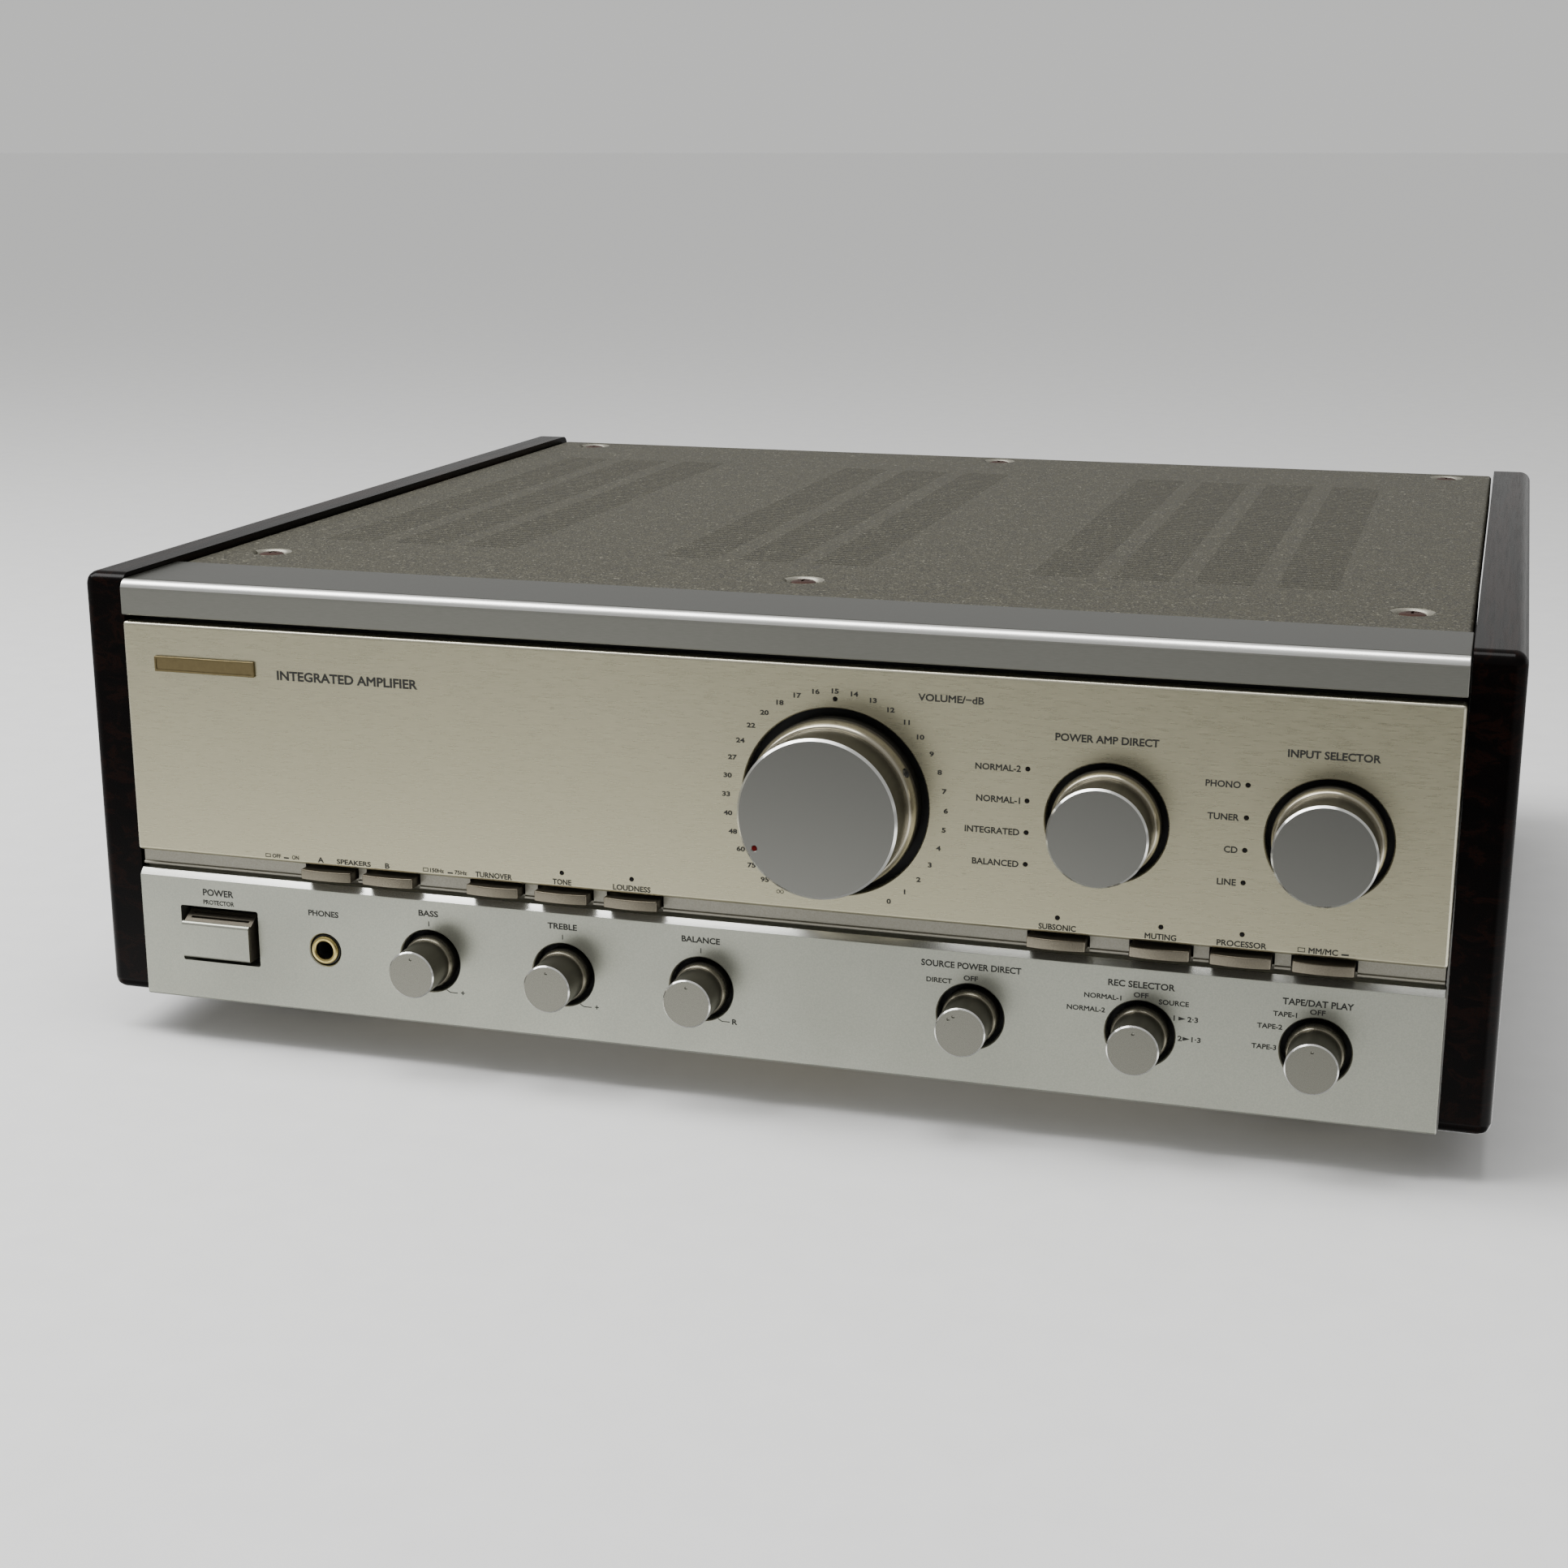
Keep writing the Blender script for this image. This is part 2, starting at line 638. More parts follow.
def lower_plate():
    """Silver plate with a wide bevel along its top and a rounded lower edge."""
    low, high = LOWER_LOW, LOWER_HIGH
    outline = [(low.y + 0.7, low.z)] + arc((low.y + 0.9, low.z + 0.9), 0.9, 270, 180, 5)[1:]
    outline += [(low.y, high.z - 2.05), (low.y + 0.06, high.z - 1.9), (low.y + 1.85, high.z - 0.08)]
    outline += [(low.y + 2.0, high.z), (high.y, high.z), (high.y, low.z)]
    mesh = extruded(outline, (low.x, high.x), "X")
    bevel = low.y + 2.1
    round_edges(mesh, 0.55, 3, lambda middle, line: at_end(middle, line, high) and middle.y < bevel)
    body = as_object("plate", mesh)
    tools = [well(SMALL_WELL_RADIUS, seen(f"{name}_knob"), 96) for name in SMALL_KNOBS]
    tools.append(well(SOCKET_WELL_RADIUS, seen("headphone_socket"), 64))
    first, last = span("power_button")
    across, up = (first.x - 2.1, last.x + 2.0), (first.z - 2.3, last.z + 2.1)
    tools.append(round_edges(box(across, (FRONT - 2, FRONT + CUT_DEPTH), up), 0.8, 5))
    cut(body, merged(tools))
    sort_faces(body, lambda at, normal: normal.z > 0.5 and -normal.y > 0.3 and at.z > high.z - 2.1)
    surfaces = [SILVER, SILVER_BEVEL]
    piece("lower_front_plate", body, surfaces, nodes=["lower_fascia"], angle=25)


def at_end(middle, line, high):
    """Picks the edges round the left and right ends of a bar."""
    return abs(middle.x) > high.x - 0.1 and abs(line.x) < 0.1


def trim_bar():
    """Brushed bar along the top of the front: a plate behind, a lip and a rounded front edge."""
    low, high = span("top_trim")
    radius, lip, plate, edge = 3.5, 6.0, 3.0, 0.3
    outline = [(low.y, low.z + 0.4)]
    outline += arc((low.y + radius, high.z - radius), radius, 180, 90, 18)
    outline += [(high.y - edge, high.z), (high.y, high.z - edge), (high.y, high.z - plate)]
    outline += [(low.y + lip, high.z - plate), (low.y + lip, low.z), (low.y + 0.4, low.z)]
    mesh = extruded(outline, (low.x, high.x), "X")
    round_edges(mesh, 0.35, 3, lambda middle, line: at_end(middle, line, high))
    mesh.normal_update()
    for face in mesh.faces:
        rolled = face.normal.y < -0.25 and face.normal.z > 0.25
        face.material_index = 1 if rolled else 2 if face.normal.z > 0.9 else 0
    surfaces = [TRIM, TRIM_EDGE, TRIM_TOP]
    piece("top_trim_bar", mesh, surfaces, nodes=["top_trim"], angle=40)


def button_rail():
    """Channel between the plates: a bar with a raised lip, broken at each button."""
    low, high = span("button_strip")
    front, back, web = low.y + 0.6, high.y, high.y - 1.5
    bar_low, bar_high = 62.3, 67.5
    outline = [
        (low.y + 0.15, bar_low), (low.y, bar_low + 0.15), (low.y, bar_low + 0.75),
        (low.y + 0.15, bar_low + 0.9), (front, bar_low + 1.0), (front, bar_high), (web, bar_high),
        (web, high.z), (back, high.z), (back, low.z), (web, low.z), (web, bar_low),
    ]
    body = as_object("strip", extruded(outline, (low.x, high.x), "X"))
    gates, passages = [], []
    for name in BUTTONS:
        middle = centre(f"{name}_button")
        across = around(middle.x, 9.8)
        gates.append(box(across, (low.y - 1, back - 1.6), (bar_low - 1, bar_high + 1)))
        passages.append(box(across, (low.y - 2, back + 1), around(middle.z, 2.2)))
    cut(body, merged(gates))
    cut(body, merged(passages))
    piece("button_rail", body, [STRIP], nodes=["button_strip"])


VENT_CENTRES = (-182.5, -155.0, -127.5, -50.9, -23.4, 4.1, 80.6, 108.0, 135.4, 162.8)
VENT_HALF = 9.8
VENT_FROM, VENT_TO = 63.2, 309.2      # behind the cover's front edge
SLITS = 82
SLIT_SHARE = 0.16                     # of the pitch from one slit to the next
BEND = 1.6
SHEET = 1.2


def slotted_top(mesh, low, high):
    """Flat top of the cover with its slits left open, as columns of points."""
    xs = [low.x + BEND]
    for x in VENT_CENTRES:
        xs += around(x, VENT_HALF)
    xs.append(high.x - BEND)
    first = low.y + VENT_FROM
    pitch = (low.y + VENT_TO - first) / SLITS
    ys = [low.y]
    for row in range(SLITS):
        ys += [first + row * pitch, first + row * pitch + pitch * SLIT_SHARE]
    ys.append(high.y - BEND)
    grid = [[mesh.verts.new((x, y, high.z)) for y in ys] for x in xs]
    for i in range(len(xs) - 1):
        for j in range(len(ys) - 1):
            if i % 2 == 0 or j % 2 == 0:
                mesh.faces.new((grid[i][j], grid[i + 1][j], grid[i + 1][j + 1], grid[i][j + 1]))
    return grid


def fold_down(mesh, grid, low, high):
    """Bends the sheet down round its left, rear and right edges."""
    rim = [(vertex, (-1, 0)) for vertex in grid[0][:-1]] + [(grid[0][-1], (-1, 1))]
    rim += [(column[-1], (0, 1)) for column in grid[1:-1]] + [(grid[-1][-1], (1, 1))]
    rim += [(vertex, (1, 0)) for vertex in reversed(grid[-1][:-1])]
    turns = [math.pi / 8 * step for step in range(1, 5)]
    levels = [(BEND * math.sin(turn), BEND * (1 - math.cos(turn))) for turn in turns]
    previous = [vertex for vertex, _ in rim]
    for out, down in [*levels, (BEND, high.z - low.z)]:
        ring = []
        for vertex, (x, y) in rim:
            ring.append(mesh.verts.new((vertex.co.x + x * out, vertex.co.y + y * out, high.z - down)))
        for corners in zip(previous, previous[1:], ring[1:], ring):
            mesh.faces.new(corners)
        previous = ring


def lid():
    """Folded cover: ten bands of fine transverse slits and six pressed dimples."""
    low, high = span("top_cover")
    mesh = bmesh.new()
    fold_down(mesh, slotted_top(mesh, low, high), low, high)
    bmesh.ops.recalc_face_normals(mesh, faces=mesh.faces)
    mesh.faces.ensure_lookup_table()
    if mesh.faces[0].normal.z < 0:
        bmesh.ops.reverse_faces(mesh, faces=mesh.faces)
    body = modified(as_object("lid", mesh), "SOLIDIFY", thickness=SHEET, offset=-1)
    top = high.z
    cup = from_level(top, (0, -4.2), (6.3, -4.2), (7.4, -3.2), (9.4, -0.8), (0, -0.8))
    dish = from_level(
        top, (0, -3.0), (4.9, -3.0), (5.25, -2.85), (5.45, -2.5), (5.7, -1.7),
        (6.0, -1.05), (6.45, -0.5), (7.1, -0.15), (7.9, 0), (7.9, 1), (0, 1),
    )
    screws = [centre(node) for node in named("cover_screw")]
    joined(body, merged([turned(cup, (at.x, at.y), 64, "Z") for at in screws]))
    cut(body, merged([turned(dish, (at.x, at.y), 64, "Z") for at in screws]))

    def faces_front_in_dimple(middle, normal):
        near = any(math.hypot(middle.x - at.x, middle.y - at.y) < 7.6 for at in screws)
        facing = -0.9 < normal.y < -0.08 and normal.z > 0.02
        return near and facing and top - 3.1 < middle.z < top - 0.1

    sort_faces(body, faces_front_in_dimple)
    piece("vented_lid", body, [PAINT, PRESSED_PAINT], nodes=["top_cover"], angle=40)


def lid_screws():
    """Domed screws with a cross, standing in the dimples."""
    under = span("top_cover")[1].z - 2.7
    radius, shoulder, lift = 4.3, under + 1.7, 0.7
    for node in named("cover_screw"):
        low, high = span(node)
        middle = centre(node)
        crown = high.z + lift
        profile = [(0, low.z), (1.9, low.z), (1.9, under), (4.1, under), (radius, under + 0.2)]
        for turn in (1.57, 1.3, 1.05, 0.8, 0.5, 0.22):
            profile.append((radius * math.sin(turn), shoulder + (crown - shoulder) * math.cos(turn)))
        profile.append((0, crown))
        body = as_object("screw", turned(profile, (middle.x, middle.y), 48, "Z"))
        for half_x, half_y in ((2.0, 0.42), (0.42, 2.0)):
            cut(body, box(around(middle.x, half_x), around(middle.y, half_y), (crown - 1.3, crown + 1)))
        name = node.replace("cover_screw", "domed_screw")
        piece(name, body, [COPPER], nodes=[node], angle=30)


# -------- controls

# face and rim radius, start and end of the shoulder from the plate, chamfer; sides; colour of the face
SELECTOR_KNOB = ((15.3, 16.8, -4.5, -0.7, 0.6), 144, (0.27, 0.27, 0.249))
SMALL_KNOB = ((8.0, 8.9, -2.7, 0.1, 0.42), 96, (0.22, 0.217, 0.184))
VOLUME_KNOB = ((25.3, 27.3, -7.5, -2.1, 0.75), 192, (0.23, 0.23, 0.212))
KNOB_SIDE = (0.13, 0.122, 0.097)
KNOB_FLARE = (0.4, 0.37, 0.29)


def knob_profile(shape, front, shaft_end):
    """Flat face, turned chamfer, straight side and a rounded shoulder that ends in front of the well."""
    face, rim, start, end, chamfer = shape
    start, end = FRONT + start, FRONT + end
    ridge, shaft, steps = 0.08, 3.0, 12
    profile = [(0, front), (face - chamfer, front), (face, front + chamfer)]
    profile += [(face, start - 0.22), (face + ridge, start)]
    for step in range(1, steps + 1):
        turn = math.pi / 2 * step / steps
        out = face + ridge + (rim - face - ridge) * math.sin(turn)
        profile.append((out, start + (end - start) * (1 - math.cos(turn))))
    profile += [(rim, FRONT + 3.0), (shaft, FRONT + 3.0), (shaft, shaft_end), (0, shaft_end)]
    return profile, [0, 1, 2, 3] + [3] * steps + [2] * 4


def pit(middle, front, radius, depth):
    """Small round-bottomed hole to cut into a knob face."""
    bottom = (radius * 0.7, depth * 0.8)
    return turned(from_level(front, (0, depth), bottom, (radius, 0), (radius, -1), (0, -1)), middle, 20)


def knob_finish(name, face, flare, middle, roughness):
    """The metals of a knob's face, chamfer, side and flare."""
    return [
        turned_metal(f"{name}_face", face, times(face, 1.05), roughness, middle),
        BRIGHT,
        turned_metal(f"{name}_side", KNOB_SIDE, times(KNOB_SIDE, 1.15), roughness + 0.04, middle),
        turned_metal(f"{name}_flare", flare, times(flare, 1.1), roughness + 0.02, middle),
    ]


def volume_details(body, node, front, middle):
    """Red position mark in its pit, and the grub screw in the knob's side."""
    spot = (middle[0] - 19.6, middle[1] - 10.6)
    cut(body, pit(spot, front, 1.1, 0.35))
    mark = turned(from_level(front, (0, 0.12), (0.8, 0.16), (0.95, 0.3), (0, 0.5)), spot, 24)
    piece("volume_position_mark", mark, [MARK], body=node)
    turn = Matrix.Rotation(math.radians(62.5), 4, "Y")
    place = Matrix.Translation((middle[0], FRONT - 5.0, middle[1])) @ turn
    hole = turned([(0, 23.0), (1.5, 23.0), (1.6, 30.0), (0, 30.0)], (0, 0), 28, "Z")
    hole.transform(place)
    cut(body, hole)
    profile = [(0, 23.2), (1.4, 23.2), (1.4, 25.6), (1.2, 25.9), (0.75, 25.9), (0.7, 24.6), (0, 24.6)]
    grub = turned(profile, (0, 0), 24, "Z")
    grub.transform(place)
    piece("volume_grub_screw", grub, [NICKEL], body=node)


def small_knob_marks(body, name, front, middle):
    """One dot near the rim of the face, or two on the source direct knob."""
    paired = name == "source_direct"
    turn = math.radians(-32) if paired else 0.0
    radius = 5.4
    for aside in (-0.9, 0.9) if paired else (0.0,):
        spot = (
            middle[0] + radius * math.sin(turn) + aside * math.cos(turn),
            middle[1] + radius * math.cos(turn) - aside * math.sin(turn),
        )
        cut(body, pit(spot, front, 0.5, 0.3))


def knobs():
    for name in (*LARGE_KNOBS, *SMALL_KNOBS):
        node = f"{name}_knob"
        low, high = span(node)
        middle = seen(node)
        small = name in SMALL_KNOBS
        shape, segments, face = SMALL_KNOB if small else VOLUME_KNOB if name == "volume" else SELECTOR_KNOB
        profile, slots = knob_profile(shape, low.y, high.y)
        body = as_object("knob", turned(profile, middle, segments, slots=slots))
        if name == "volume":
            volume_details(body, node, low.y, middle)
        elif small:
            small_knob_marks(body, name, low.y, middle)
        flare = times(KNOB_FLARE, 0.55) if small else KNOB_FLARE
        surfaces = knob_finish(node, face, flare, middle, 0.26 if small else 0.2)
        piece(f"{name}_turned_knob", body, surfaces, body=node, nodes=[node], angle=10)


def push_caps():
    """Flat caps with bowed fronts, each on its stem."""
    half, half_height, bow, steps = 9.1, 1.7, 0.9, 16
    for name in BUTTONS:
        node = f"{name}_button"
        low, high = span(node)
        middle = centre(node)
        back = low.y + 7.3
        outline = []
        for step in range(steps + 1):
            across = -1 + 2 * step / steps
            outline.append((middle.x + across * half, low.y + bow * across * across))
        outline += [(middle.x + half, back), (middle.x - half, back)]
        mesh = extruded(outline, around(middle.z, half_height), "Z")
        round_edges(mesh, 0.32, 3, lambda at, line: at.y < back - 1.5)
        for face in mesh.faces:
            face.material_index = 1 if face.normal.y < -0.9 else 0
        whole = merged([mesh, box(around(middle.x, 3), (back - 0.5, high.y), around(middle.z, 1.2))])
        surfaces = [CAP, CAP_FACE]
        piece(f"{name}_push_cap", whole, surfaces, body=node, nodes=[node], angle=30)


def power_cap():
    """Broad cap with a rolled front edge; the slope above it has two finger grooves."""
    node = "power_button"
    low, high = span(node)
    front, ledge, top = low.y, low.z + 12.9, high.z
    back = FRONT + 5.0
    slope_foot, slope_head = (front + 2.0, ledge - 0.45), (back - 1.6, top)
    outline = [(back, low.z), (front + 1.0, low.z)]
    outline += arc((front + 1.0, low.z + 1.0), 1.0, 270, 180, 6)[1:]
    outline += arc((front + 1.2, ledge - 1.2), 1.2, 180, 90, 10)
    outline += [(front + 1.7, ledge - 0.5), slope_foot, slope_head, (back, top)]
    body = as_object("power", extruded(outline, (low.x, high.x), "X"))
    start, end = Vector(slope_foot), Vector(slope_head)
    along = (end - start).normalized()
    out = Vector((-along.y, along.x))
    for share in (0.36, 0.74):
        middle = start + (end - start) * share
        corners = []
        for step, lift in ((-0.5, 0.8), (0.5, 0.8), (0.45, -0.8), (-0.45, -0.8)):
            corners.append(tuple(middle + along * step + out * lift))
        cut(body, extruded(corners, (low.x + 1.8, high.x - 1.5), "X"))
    middle = (low + high) / 2
    joined(body, box(around(middle.x, 5), (back - 0.4, high.y), around(middle.z, 2.5)))
    sort_faces(body, lambda at, normal: 2 if abs(normal.x) > 0.9 else at.y > front + 1.5)
    surfaces = [SILVER, GROOVED, CAP_FACE]
    piece("power_push_cap", body, surfaces, body=node, nodes=[node], angle=28)


def phones():
    """Socket with a bright rolled ring and a dark bore."""
    node = "headphone_socket"
    back = span(node)[1].y
    bore = 3.2
    profile = [(0, back - 4), (bore, back - 4)]
    profile += from_level(
        FRONT, (bore, 1.2), (bore, -0.2), (3.3, -0.42), (3.6, -0.58), (4.3, -0.58), (4.7, -0.42),
        (4.85, -0.15), (4.85, 0.7), (5.2, 0.75), (5.3, 0.9),
    )
    profile += [(5.3, back), (0, back)]
    slots = [1] * 2 + [0] * 7 + [1] * 4
    mesh = turned(profile, seen(node), 96, slots=slots)
    piece("phones_socket", mesh, [BRASS, BLACK], nodes=[node])


def plain_badge():
    """Plain raised bar with a shallow sunk face."""
    low, high = span("name_badge")
    mesh = box(*zip(low, high))
    round_edges(mesh, 0.3, 3, lambda middle, line: middle.y < low.y + 0.1 or runs_back(middle, line))
    edge, sunk = 0.7, 0.25
    face = box((low.x + edge, high.x - edge), (low.y - 1, low.y + sunk), (low.z + edge, high.z - edge))
    body = cut(as_object("badge", mesh), round_edges(face, 0.3, 2))
    piece("plain_gold_badge", body, [BADGE], nodes=["name_badge"])


# -------- printed labels

def lettering(words, weight=0.0, thick=0.0):
    """Flat mesh of some words, one unit high."""
    curve = bpy.data.curves.new("words", "FONT")
    curve.body = words
    curve.resolution_u = 3
    curve.extrude = thick
    curve.bevel_depth = weight
    curve.bevel_resolution = 0
    made = linked("words", curve)
    graph = bpy.context.evaluated_depsgraph_get()
    data = bpy.data.meshes.new_from_object(made.evaluated_get(graph))
    bpy.data.objects.remove(made, do_unlink=True)
    bpy.data.curves.remove(curve)
    mesh = bmesh.new()
    mesh.from_mesh(data)
    bpy.data.meshes.remove(data)
    return mesh


def capital_height():
    mesh = lettering("H")
    up = [vertex.co.y for vertex in mesh.verts]
    mesh.free()
    return max(up) - min(up)


CAPITAL = capital_height()


class Print:
    """Gathers lettering and small signs into one thin mesh on the front of a plate."""

    def __init__(self, plane=FRONT, facing=-1):
        self.plane = plane
        self.facing = facing
        self.parts = []

    def text(self, words, x, z, height, width=None, align="CENTER", weight=0.028, stretch=1.2):
        mesh = lettering(words, weight, 0.012)
        sides = [v.co.x for v in mesh.verts]
        left, right = min(sides), max(sides)
        tall = height / CAPITAL
        wide = width / (right - left) if width else tall * stretch
        shift = {"CENTER": -(left + right) / 2, "LEFT": -left, "RIGHT": -right}[align]
        for v in mesh.verts:
            flat = Vector(((v.co.x + shift) * wide, (v.co.y - CAPITAL / 2) * tall, v.co.z))
            v.co = (x - self.facing * flat.x, self.plane + self.facing * (0.03 + flat.z), z + flat.y)
        if self.facing > 0:
            bmesh.ops.reverse_faces(mesh, faces=mesh.faces)
        self.parts.append(mesh)

    def bar(self, x, z, width, height, turn=0.0):
        mesh = box((-width / 2, width / 2), (-0.05, 0.0), (-height / 2, height / 2))
        mesh.transform(Matrix.Translation((x, self.plane, z)) @ Matrix.Rotation(turn, 4, "Y"))
        self.parts.append(mesh)

    def frame(self, x, z, width, height, line=0.22):
        for up in (-1, 1):
            self.bar(x, z + up * (height - line) / 2, width, line)
            self.bar(x + up * (width - line) / 2, z, line, height)

    def arrow(self, x, z, length, height):
        corners = [(x - length / 2, z - height / 2), (x - length / 2, z + height / 2), (x + length / 2, z)]
        self.parts.append(extruded(corners, (self.plane - 0.05, self.plane), "Y"))

    def infinity(self, x, z):
        """Two small rings side by side."""
        for aside in (-0.62, 0.62):
            inner, outer = 0.42, 0.62
            profile = [(inner, -0.05), (outer, -0.05), (outer, 0.0), (inner, 0.0), (inner, -0.05)]
            ring = turned(profile, (0, 0), 16)
            bmesh.ops.remove_doubles(ring, verts=ring.verts, dist=0.0001)
            ring.transform(Matrix.Translation((x + aside, self.plane, z)))
            self.parts.append(ring)

    def finish(self, name, surface):
        piece(name, merged(self.parts), [surface])


DIAL_RADIUS = 35.4
DIAL = ("95", "75", "60", "48", "40", "33", "30", "27", "24", "22", "20", *range(18, -1, -1))


def volume_dial(made):
    """Attenuation in decibels, from infinity down to none, a mark every ten degrees."""
    middle = centre("volume_knob")
    for step, mark in enumerate((None, *DIAL)):
        turn = math.radians(-150 + 10 * step)
        x, z = middle.x + DIAL_RADIUS * math.sin(turn), middle.z + DIAL_RADIUS * math.cos(turn)
        if mark is None:
            made.infinity(x, z)
        else:
            made.text(str(mark), x, z, 1.42, stretch=1.35, weight=0.04)
    made.text("VOLUME/−dB", middle.x + 36.4, middle.z + 35.3, 2.1, 20.5)


def selector_words(made):
    direct, source = (centre(f"{name}_knob") for name in SELECTORS)
    made.text("POWER AMP DIRECT", direct.x - 0.6, direct.z + 25.9, 2.2, 31.2, weight=0.03)
    made.text("INPUT SELECTOR", source.x, source.z + 25.8, 2.2, 26.6, weight=0.03)
    for middle, words in (
        (direct, ("NORMAL-2", "NORMAL-1", "INTEGRATED", "BALANCED")),
        (source, ("PHONO", "TUNER", "CD", "LINE")),
    ):
        x = middle.x - LAMP_ASIDE - 2.1
        for word, up in zip(words, POSITIONS_UP):
            made.text(word, x, middle.z + up - 0.1, 1.9, align="RIGHT", stretch=1.03)


def upper_labels():
    made = Print()
    volume_dial(made)
    badge = centre("name_badge")
    made.text("INTEGRATED AMPLIFIER", badge.x + 51.8, badge.z - 1.4, 2.9, 50.6, weight=0.032)
    selector_words(made)
    line = UPPER_LOW.z + 2.1
    for name, word, width in (
        ("turnover", "TURNOVER", 13.0), ("tone", "TONE", 6.5), ("loudness", "LOUDNESS", 12.9),
        ("subsonic", "SUBSONIC", 11.6), ("muting", "MUTING", 9.6), ("processor", "PROCESSOR", 14.9),
    ):
        made.text(word, centre(f"{name}_button").x, line, 1.75, width)
    first, second = centre("speaker_a_button").x, centre("speaker_b_button").x
    made.text("A", first - 2.5, line, 1.75)
    made.text("B", second - 0.6, line, 1.75)
    made.text("SPEAKERS", (first + second) / 2 - 1.6, line, 1.6, 12.5)
    # an open frame for the button out, a low bar for it in
    for x, frame_at, out, out_at, out_wide, bar_at, into, in_at, in_wide in (
        (first - 16.5, -5.6, "OFF", -2.4, 3.2, 1.2, "ON", 4.6, 2.6),
        (centre("turnover_button").x - 17.3, -7.0, "150Hz", -2.9, 5.0, 1.8, "75Hz", 5.6, 4.4),
    ):
        made.frame(x + frame_at, line, 1.9, 1.3)
        made.text(out, x + out_at, line, 1.3, out_wide)
        made.bar(x + bar_at, line - 0.4, 1.9, 0.5)
        made.text(into, x + in_at, line, 1.3, in_wide)
    cartridge = centre("cartridge_button").x - 0.4
    made.frame(cartridge - 6.4, line, 2.2, 1.4)
    made.text("MM/MC", cartridge, line, 1.75, 8.6)
    made.bar(cartridge + 6.4, line - 0.4, 2.2, 0.5)
    made.finish("upper_plate_lettering", INK)


def tone_words(made):
    """Titles of the tone and balance knobs, a tick above, and a plus or an R at the clockwise end."""
    for name, width in (("bass", 7.1), ("treble", 10.3), ("balance", 13.0)):
        middle = centre(f"{name}_knob")
        made.text(name.upper(), middle.x, middle.z + 16.6, 1.9, width)
        made.bar(middle.x, middle.z + 13.0, 0.28, 1.7)
        made.bar(middle.x + 6.3, middle.z - 10.0, 1.6, 0.26, math.radians(32))
        made.bar(middle.x + 8.3, middle.z - 10.4, 2.7, 0.26)
        x, z = middle.x + 11.5, middle.z - 10.2
        if name == "balance":
            made.text("R", middle.x + 11.3, z, 1.7)
        else:
            made.bar(x, z, 1.4, 0.3)
            made.bar(x, z, 0.3, 1.4)


# title, its height over the axis and width; each stop's angle, distance aside and word
STOPS = {
    "source_direct": ("SOURCE POWER DIRECT", 16.5, 31.8, ((-27, 13.2, "DIRECT"),)),
    "record": (
        "REC SELECTOR", 15.9, 20.5, ((-27, 13.2, "NORMAL-1"), (-58, 12.8, "NORMAL-2"), (27, 12.0, "SOURCE")),
    ),
    "tape": (
        "TAPE/DAT PLAY", 15.3, 21.0, ((-27, 13.2, "TAPE-1"), (-57, 12.1, "TAPE-2"), (-90, 11.6, "TAPE-3")),
    ),
}


def stop_words(made):
    for name, (title, up, width, stops) in STOPS.items():
        middle = centre(f"{name}_knob")
        made.text(title, middle.x, middle.z + up, 1.95, width)
        made.text("OFF", middle.x, middle.z + 12.6, 1.5)
        for angle, aside, stop in stops:
            turn = math.radians(angle)
            x, z = middle.x + aside * math.sin(turn), middle.z + 12.3 * math.cos(turn) + 0.1
            made.text(stop, x, z, 1.5, align="RIGHT" if angle < 0 else "LEFT", stretch=1.1)


def lower_labels():
    made = Print()
    power, socket = centre("power_button"), centre("headphone_socket")
    made.text("POWER", power.x, power.z + 15.1, 2.2, 11.7)
    made.text("PROTECTOR", power.x, power.z + 11.6, 1.5, 11.8)
    made.text("PHONES", socket.x, socket.z + 12.9, 1.9, 11.2)
    tone_words(made)
    stop_words(made)
    record = centre("record_knob")
    for first, second, up, aside in (("1", "2·3", 6.3, 10.1), ("2", "1·3", -0.1, 11.6)):
        x, z = record.x + aside, record.z + up
        made.text(first, x, z, 1.55, align="LEFT")
        made.arrow(x + 2.6, z, 2.2, 1.3)
        made.text(second, x + 4.2, z, 1.55, align="LEFT")
    made.finish("lower_plate_lettering", INK)


# -------- rear and underside

RIM = 5.0                             # how far a connector plate stands out past its hidden body
PLATES = {"phono_socket_block": 2.0, "speaker_terminal_block": 2.0, "mains_outlet_block": 4.0}
PHONO_LEFT, PHONO_PITCH, PHONO_ROWS = 15.0, 22.0, (17.0, 39.0)


def connector_plate(node):
    """Rounded plate and hidden body of a connector block, and the plane of the plate's face."""
    low, high = span(node)
    outer = REAR + PLATE_GAP
    face = outer + PLATES[node]
    mesh = box((low.x, high.x), (outer, face), (low.z, high.z))
    round_edges(mesh, 0.6, 3, lambda middle, line: middle.y > face - 0.1 or runs_back(middle, line))
    across, up = ((start + RIM + 0.5, end - RIM - 0.5) for start, end in ((low.x, high.x), (low.z, high.z)))
    return mesh, box(across, (low.y, outer + 0.3), up), face


def knurled(profile, middle, lobes, depth, wanted, slots):
    """Turned body whose parts beyond a radius are fluted."""
    mesh = turned(profile, middle, lobes * 6, slots=slots)
    for vertex in mesh.verts:
        side, up = vertex.co.x - middle[0], vertex.co.z - middle[1]
        radius = math.hypot(side, up)
        if radius > wanted:
            ratio = 1 - depth / radius * (0.5 + 0.5 * math.cos(lobes * math.atan2(side, up)))
            vertex.co.x, vertex.co.z = middle[0] + side * ratio, middle[1] + up * ratio
    return mesh


